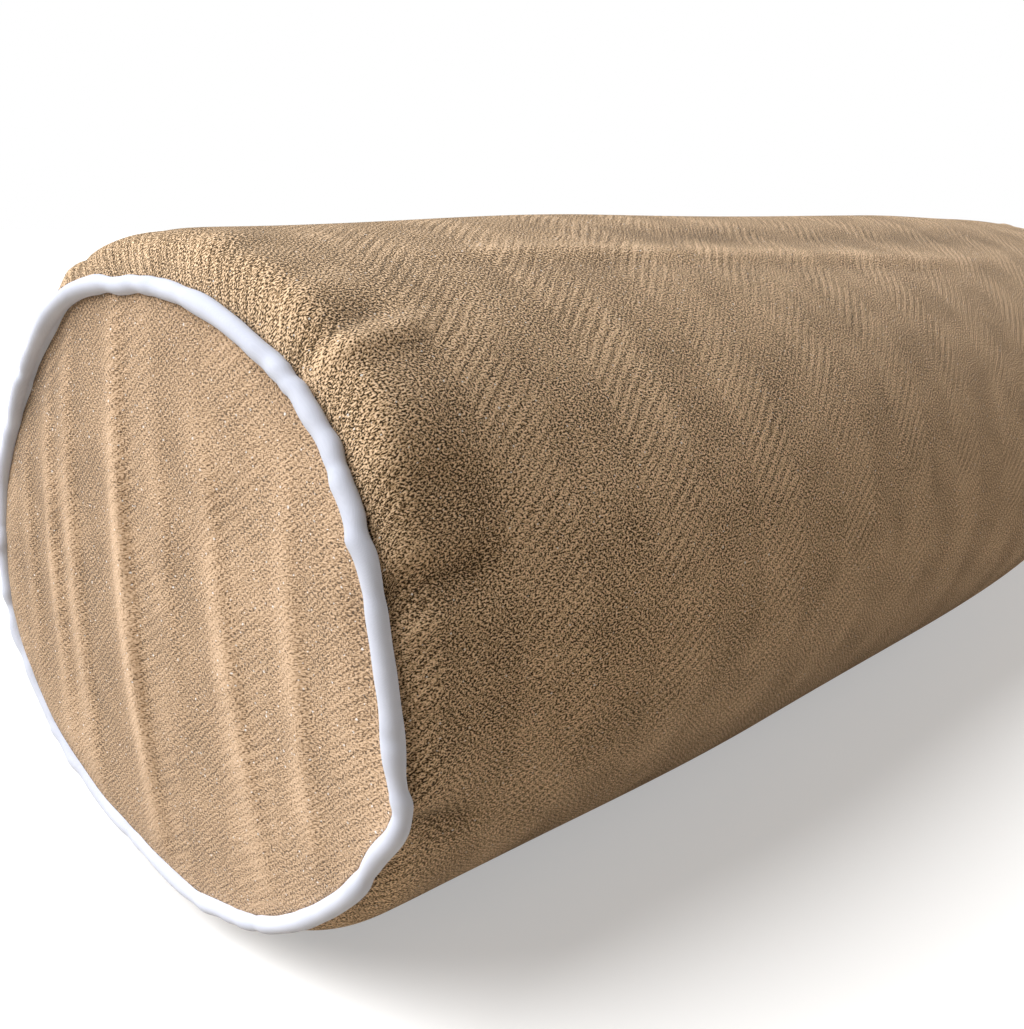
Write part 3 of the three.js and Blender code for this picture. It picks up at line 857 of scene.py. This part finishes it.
def add_cover_tube():
    xs = row_places()
    angles, in_slot, in_seam, gap = column_places()
    x, angle = np.meshgrid(xs, angles, indexing="ij")
    points = tube_points(x, angle)
    opening = smooth(OPENING_HALF_LENGTH + 3.5, OPENING_HALF_LENGTH - 0.5, np.abs(x))
    drop = opening * in_slot + (1 - opening) * in_seam
    points = points - drop[..., None] * ZIP_OUT
    rows, columns = x.shape
    u, v = cloth_lengths(x, angles)
    faces, uvs = [], []
    for i in range(rows - 1):
        open_here = abs(xs[i] + xs[i + 1]) / 2 < OPENING_HALF_LENGTH + 1.5
        for j in range(columns):
            j2 = (j + 1) % columns
            if open_here and (gap[j] or gap[j2]):
                continue
            faces.append((i * columns + j, i * columns + j2, (i + 1) * columns + j2,
                          (i + 1) * columns + j))
            uvs.append([(u[i, j], v[j]), (u[i, j + 1], v[j + 1]),
                        (u[i + 1, j + 1], v[j + 1]), (u[i + 1, j], v[j])])
    # painted light on the folds and painted shade in their troughs, for the weave to read
    relief = all_folds(x + SEAM_X, arc_from_top(angle)) / HIGHEST_FOLD
    piece = add_object("cover_body_panel_cloth", points.reshape(-1, 3), faces, "tube_weave", uvs,
                       relief)
    change_mesh(piece, drop_loose_points)
    thicken(piece, CLOTH)
    stands_for(piece, "pillow", "cover_weave", "cover_body_panel")


# ---- end panels ----
RIDGE_DROP = 2.4
# How much of a ridge's height, and of a hollow's by the seam, goes into the relief: painted light
# on the ridges, painted shade in the hollows and painted light on the swellings.
RIDGE_PAINTED_LIGHT = 0.45
HOLLOW_PAINTED_SHADE = 0.22
RIPPLES = 16
COLUMN_SHIFT = 4.5  # moves the herringbone columns across the panel
DARKER_TO_BACK = 0.0045  # the end panels' weave opens its gaps and grows darker toward the back
# Hollows and swellings of the near panel by its seam: angle and spread in degrees, share of the
# way out, its reach, and height.
EDGE_HOLLOWS = [
    (48, 24, 0.97, 0.14, -2.6),
    (2, 26, 0.93, 0.08, 1.3),
    (172, 22, 0.965, 0.06, -2.4),
    (318, 30, 0.88, 0.16, 2.2),
]
# Soft upright ridges: place across at the top and at the bottom, half-width, height, middle and
# reach up the panel. Each drops off slowly towards the back and sharply towards the front.
NEAR_RIDGES = [
    (13, 6, 4.6, 2.9, -5, 90),
    (44, 42, 4.0, 1.9, 0, 70),
    (59, 57, 3.6, 2.0, 0, 55),
    (78, 76, 3.6, 1.3, 4, 40),
    (-25, -51, 4.5, 1.9, -8, 60),
    (-61, -72, 3.6, 1.8, -6, 55),
    (-9, -14, 5.0, 0.8, 25, 50),
]
FAR_RIDGES = [
    (-8, -2, 5.0, 1.3, 5, 80),
    (34, 36, 4.5, 0.9, -10, 50),
    (-46, -50, 5.0, 1.1, 0, 60),
    (66, 62, 4.0, 0.9, 10, 45),
]


def end_surface(share, angle, end):
    """Points of an end panel's outer face, and its relief for the weave. share is 0 at its
    middle and 1 at its edge."""
    edge = rim_points(angle, end)
    centre = np.array([end * SEAM_X, 0.0, AXIS_HEIGHT - RIM_DROP])
    flat = centre + (edge - centre) * share[..., None] * (RIM_RADIUS - PANEL_EDGE) / RIM_RADIUS
    y, up = flat[..., 1], flat[..., 2] - centre[2]
    crown = END_CROWN * (1 - share**2) * (1 - 0.15 * np.sin(2 * angle + 0.7) * share)
    crown = crown + 0.5 * np.sin(y / 31 + 0.8) * np.cos(up / 43) * (1 - share**4)
    # the weave is darker towards the back (+Y)
    relief = -0.10 - DARKER_TO_BACK * y
    for top, bottom, width, height, middle, reach in NEAR_RIDGES if end < 0 else FAR_RIDGES:
        line = top + (bottom - top) * (0.5 - up / 180)
        fade = bump(up - middle, reach) * smooth(1.0, 0.86, share)
        ridge = np.where(y > line, bump(y - line, 1.7 * width), bump(y - line, RIDGE_DROP))
        crown = crown + height * fade * ridge
        # painted light along the ridge
        relief = relief + RIDGE_PAINTED_LIGHT * height * fade * ridge
    for degrees, spread, middle, reach, height in EDGE_HOLLOWS if end < 0 else ():
        around = bump(turn_between(angle, math.radians(degrees)), math.radians(spread))
        crown = crown + height * around * bump(share - middle, reach)
        # painted shade in a hollow, painted light on a swelling
        relief = relief + HOLLOW_PAINTED_SHADE * height * around * bump(share - middle, reach)
    flat[..., 0] += end * (crown + seam_ripple(share, angle) * (1 - 0.5 * share) + 0.4)
    return flat, relief


def seam_ripple(share, angle):
    """Small random gathers round the edge of an end panel."""
    ripple = np.zeros(angle.shape)
    for _ in range(RIPPLES):
        centre, width = RNG.uniform(0, TAU), RNG.uniform(0.03, 0.08)
        height, reach = RNG.uniform(-0.5, 0.6), RNG.uniform(0.05, 0.16)
        ripple += height * bump(turn_between(angle, centre), width) * bump(share - 0.97, reach)
    return ripple


def add_end_panel(end, side):
    rings, around = 50, 200
    share, angle = np.meshgrid(np.linspace(0.02, 1, rings) ** 0.9, turns(around), indexing="ij")
    points, relief = end_surface(share, angle, end)
    relief = np.append(relief, relief[0].mean())
    middle = points[0].mean(axis=0)
    vertices = np.vstack([points.reshape(-1, 3), middle])
    faces = sweep_faces(rings, around, False, True)
    faces += [(rings * around, (j + 1) % around, j) for j in range(around)]
    if end > 0:
        faces = [tuple(reversed(f)) for f in faces]
    across, up = end * vertices[:, 1], vertices[:, 2]
    uvs = [[(across[k] + COLUMN_SHIFT, -up[k]) for k in f] for f in faces]
    piece = add_object(f"end_panel_{side}_cloth", vertices, faces, "end_weave", uvs, relief)
    thicken(piece, CLOTH)
    stands_for(piece, "pillow", "cover_weave", f"end_panel_{side}")


# ---- piping ----
PIPING_RADIUS = 3.0
FULLNESS = 0.93  # of the wrap, against its section
DENTS = 34
SLACK_PLACES = 30  # where the piping was sewn on a little off its line
ALLOWANCE_DIRECTION = math.radians(225)  # from the end's way round to outward: into the pillow


def section_outline(steps=22):
    """The wrap round its cord, with the two layers of its seam allowance: points whose first
    number grows towards the allowance."""
    allowance, slit, cloth = 8.0, 0.25, 0.9
    outer_gap = slit + cloth

    def arc(radius, gap):
        start = math.asin(gap / radius)
        round_it = np.linspace(start, TAU - start, steps)
        return [(radius * math.cos(t), radius * math.sin(t)) for t in round_it]

    return ([(allowance, outer_gap)] + arc(PIPING_RADIUS, outer_gap)
            + [(allowance, -outer_gap), (allowance, -slit)]
            + arc(PIPING_RADIUS - cloth, slit)[::-1] + [(allowance, slit)])


def rim_frames(angle, end):
    """Points on the rim, with its outward and endward directions."""
    points = rim_points(angle, end)
    ahead = rim_points(angle + 0.01, end) - rim_points(angle - 0.01, end)
    ahead /= np.linalg.norm(ahead, axis=-1, keepdims=True)
    endward = np.zeros_like(points)
    endward[:, 0] = end
    outward = np.cross(ahead, endward) * end
    outward /= np.linalg.norm(outward, axis=-1, keepdims=True)
    outward *= np.sign((outward * (points - points.mean(axis=0))).sum(axis=-1, keepdims=True))
    endward = np.cross(outward, ahead)
    endward *= np.sign(endward[:, :1]) * end
    return points, outward, endward


def add_rim_piece(name, material, frames, outward_by, endward_by):
    """A closed sweep round an end seam. Each of its points has its two distances from the rim."""
    points, outward, endward = (directions[:, None, :] for directions in frames)
    vertices = points + outward_by[..., None] * outward + endward_by[..., None] * endward
    faces = sweep_faces(*outward_by.shape, True, True)
    piece = add_object(name, vertices.reshape(-1, 3), faces, material)
    change_mesh(piece, turn_faces_outward)
    return piece


def add_piping(end, side):
    count = 420
    angle = turns(count)
    points, outward, endward = rim_frames(angle, end)
    first, second = np.array(section_outline()).T
    cos, sin = math.cos(ALLOWANCE_DIRECTION), math.sin(ALLOWANCE_DIRECTION)
    along, across = first * cos - second * sin, first * sin + second * cos
    swell = np.full(count, FULLNESS)
    for waves in (5, 9, 14, 23, 37):
        swell += RNG.uniform(0.012, 0.03) * np.sin(waves * angle + RNG.uniform(0, TAU))
    for _ in range(DENTS):
        dent = bump(turn_between(angle, RNG.uniform(0, TAU)), RNG.uniform(0.012, 0.035))
        swell -= RNG.uniform(0.03, 0.15) * dent
    slack = np.zeros((2, count))
    for _ in range(SLACK_PLACES):
        here = bump(turn_between(angle, RNG.uniform(0, TAU)), RNG.uniform(0.02, 0.06))
        slack += RNG.uniform(-0.75, 0.75, (2, 1)) * here
    points = points + slack[0][:, None] * outward + slack[1][:, None] * endward
    piece = add_rim_piece(f"piping_{side}_wrap", "piping", (points, outward, endward),
                          np.outer(swell, across), np.outer(swell, along))
    stands_for(piece, "pillow", "piping_cotton", f"piping_{side}")


def add_piping_cord(end, side):
    count, steps, radius = 700, 15, 1.65
    angle = turns(count)
    turn = turns(steps)
    strands, twists = 3, 52
    lobes = radius * (0.90 + 0.10 * np.cos(strands * (turn[None, :] - twists * angle[:, None])))
    piece = add_rim_piece(f"piping_cord_{side}_twist", "cord", rim_frames(angle, end),
                          lobes * np.cos(turn), lobes * np.sin(turn))
    stands_for(piece, "pillow", "filler_cord", f"piping_cord_{side}")


# ---- zip ----
def on_zip(along, down, out):
    """A place in the zip's own directions: along the pillow, down the flat, and out of it."""
    along, down, out = np.broadcast_arrays(along, down, out)
    place = ZIP_ORIGIN + down[..., None] * ZIP_DOWN + out[..., None] * ZIP_OUT
    place[..., 0] += along
    return place


def tube_round(path, radius):
    """Vertices and faces of a thread or wire round a path of points."""
    steps = 6
    path = np.asarray(path, float)
    ahead = np.gradient(path, axis=0)
    ahead /= np.linalg.norm(ahead, axis=1, keepdims=True)
    side = np.cross(ahead, ZIP_OUT + np.array([0.013, 0.0, 0.0]))
    side /= np.linalg.norm(side, axis=1, keepdims=True)
    up = np.cross(side, ahead)
    turn = turns(steps)
    radius = np.broadcast_to(np.asarray(radius, float), (len(path),))
    ring = np.cos(turn)[None, :, None] * side[:, None, :]
    ring = ring + np.sin(turn)[None, :, None] * up[:, None, :]
    vertices = path[:, None, :] + radius[:, None, None] * ring
    faces = sweep_faces(len(path), steps, False, True)
    faces += [tuple(range(steps)), tuple((len(path) - 1) * steps + k for k in range(steps))[::-1]]
    return vertices.reshape(-1, 3), faces


def join_shapes(shapes):
    vertices, faces, count = [], [], 0
    for points, polygons in shapes:
        vertices.append(points)
        faces += [tuple(count + k for k in f) for f in polygons]
        count += len(points)
    return np.vstack(vertices), faces


COIL_HALF_LENGTH = 193.2
COIL_PITCH = 1.5
COIL_WIRE = 0.27
COIL_REACH = 1.62  # half a turn's width, across the zip
COIL_AXIS = 1.42  # from the zip's middle line, so that the turns of both coils cross it
COIL_DEPTH = 0.95
COIL_RISE = 0.48


def add_coil(side, name):
    """One nylon coil, its turns reaching between those of the other. side is +1 for the lower."""
    windings = COIL_HALF_LENGTH * 2 / COIL_PITCH
    angle = np.linspace(0, windings * TAU, int(windings * 14))
    shift = 0.25 if side > 0 else -0.25
    along = -COIL_HALF_LENGTH + (angle / TAU + shift) * COIL_PITCH
    across = side * (COIL_AXIS - COIL_REACH * np.cos(angle))
    out = -COIL_DEPTH + COIL_RISE * np.sin(angle)
    vertices, faces = tube_round(on_zip(along, across, out), COIL_WIRE)
    piece = add_object(f"{name}_turns", vertices, faces, "coil")
    change_mesh(piece, turn_faces_outward)
    stands_for(piece, "pillow", "zip_coil", name)


STITCH_PROUD = 0.42  # how far a stitch stands above the cloth at its middle
STITCH_SUNK = 0.35  # how far it dips in at both ends
TACK_STITCHES = 17  # across each end of the opening


def stitch(start, end, swell=0.34):
    """One stitch of thread that dips into the cloth at both ends."""
    share = np.linspace(0, 1, 7)[:, None]
    path = np.asarray(start) * (1 - share) + np.asarray(end) * share
    lift = np.sin(share * math.pi)
    path = path + (lift * (STITCH_PROUD + STITCH_SUNK) - STITCH_SUNK) * ZIP_OUT
    return tube_round(path, swell * (0.7 + 0.3 * lift[:, 0]))


def add_zip_stitching():
    shapes = []
    step, length, reach = 3.2, 2.5, 205.0
    for side in (-1, 1):
        for along in np.arange(-reach, reach, step):
            jitter = RNG.uniform(-0.12, 0.12, 2)
            start = on_zip(along, side * STITCH_LINE + jitter[0], -0.12)
            end = on_zip(along + length, side * STITCH_LINE + jitter[1], -0.12)
            shapes.append(stitch(start, end))
    for along in (-reach, reach):
        for down in np.arange(-STITCH_LINE, STITCH_LINE - 2, step):
            start = on_zip(along, down + 0.35, -0.05)
            shapes.append(stitch(start, on_zip(along, down + 0.35 + length, -0.05)))
        for k in range(TACK_STITCHES):
            down = -4.0 + 0.5 * k
            lean = 0.22 if k % 2 else -0.22
            start = on_zip(along - 2.6 * np.sign(along), down - lean, 0.0)
            end = on_zip(along - 0.7 * np.sign(along), down + lean, 0.0)
            shapes.append(stitch(start, end, 0.24))
    vertices, faces = join_shapes(shapes)
    piece = add_object("zip_stitching", vertices, faces, "thread")
    change_mesh(piece, turn_faces_outward)
    stands_for(piece, "pillow", "zip_tape")


def finish_zip_nodes():
    """Materials for the CAD solids that stay, with worn edges on the metal."""
    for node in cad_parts.values():
        if node.hide_render:
            continue
        kind = "tape" if node.name.startswith("zip_tape") else "metal"
        node.data.materials.clear()
        node.data.materials.append(MATERIALS[kind])
        if kind == "metal":
            soften = node.modifiers.new("worn_edges", "BEVEL")
            soften.width = 0.18 * MM
            soften.segments = 2
            soften.limit_method = "ANGLE"
            soften.angle_limit = math.radians(35)


# ---- inner cushion ----
def cushion_points(share, angle, inset, half_length, corner):
    """A capped tube inside the cover. share runs 0 to 1 from one end's middle to the other's."""
    reach = half_length - corner
    cap = 0.14  # the share that lies on one end
    flat_part = 0.55  # of a cap, before its corner starts
    crown = 6.0
    side = np.where(share < 0.5, -1, 1)
    from_end = np.minimum(share, 1 - share)
    on_cap = np.clip(from_end / cap, 0, 1)
    on_tube = np.clip((from_end - cap) / (0.5 - cap), 0, 1)
    corner_share = smooth(flat_part, 1.0, on_cap)
    bend = corner_share * math.pi / 2
    on_flat = np.clip(on_cap / flat_part, 0, 1)
    flat_radius = (RIM_RADIUS - LINER_INSET - corner) * on_flat
    cap_radius = flat_radius + corner * np.sin(bend)
    cap_x = reach + corner * np.cos(bend) + crown * (1 - on_flat**2)
    x = np.where(on_cap < 1, side * cap_x, side * reach * (1 - on_tube))
    tube = tube_points(np.clip(x, -reach, reach), angle)
    centre = np.zeros_like(tube)
    centre[..., 2] = AXIS_HEIGHT - 1
    spoke = tube - centre
    spoke[..., 0] = 0
    length = np.linalg.norm(spoke, axis=-1)
    full = length - inset
    shoulder = np.clip(cap_radius / (RIM_RADIUS - LINER_INSET), 0, 1)
    radius = np.where(on_cap < 1, full * shoulder, full)
    points = centre + spoke / length[..., None] * radius[..., None]
    points[..., 0] = x
    points[..., 2] = np.maximum(points[..., 2], inset * 0.9)
    return points


def add_inner_cushion():
    rows, around = 150, 128
    parts = [
        ("liner_body_cloth", LINER_INSET, 289.0, 16.0, "liner", "liner_cotton",
         ("liner_body", "liner_end_left", "liner_end_right")),
        ("fill_core_fibre", LINER_INSET + 3.0, 285.5, 15.0, "fibre", "fill_fibre", ("fill_core",)),
    ]
    for name, inset, half_length, corner, material, slot, nodes in parts:
        share, angle = np.meshgrid(np.linspace(0.004, 0.996, rows), turns(around), indexing="ij")
        points = cushion_points(share, angle, inset, half_length, corner)
        vertices = np.vstack([points.reshape(-1, 3), points[0].mean(axis=0),
                              points[-1].mean(axis=0)])
        faces = sweep_faces(rows, around, False, True)
        first, last = rows * around, (rows - 1) * around
        faces += [(first, j, (j + 1) % around) for j in range(around)]
        faces += [(first + 1, last + (j + 1) % around, last + j) for j in range(around)]
        piece = add_object(name, vertices, faces, material)
        change_mesh(piece, turn_faces_outward)
        if material == "liner":
            thicken(piece, 0.8)
        stands_for(piece, "pillow", slot, *nodes)


# ---- everything ----
add_camera()
add_background()
add_lights()
add_floor()
SETTLED = settle_cover()
add_cover_tube()
for end, side in ((-1, "left"), (1, "right")):
    add_end_panel(end, side)
    add_piping(end, side)
    add_piping_cord(end, side)
add_inner_cushion()

add_coil(-1, "zip_coil_upper")
add_coil(1, "zip_coil_lower")
add_zip_stitching()
finish_zip_nodes()
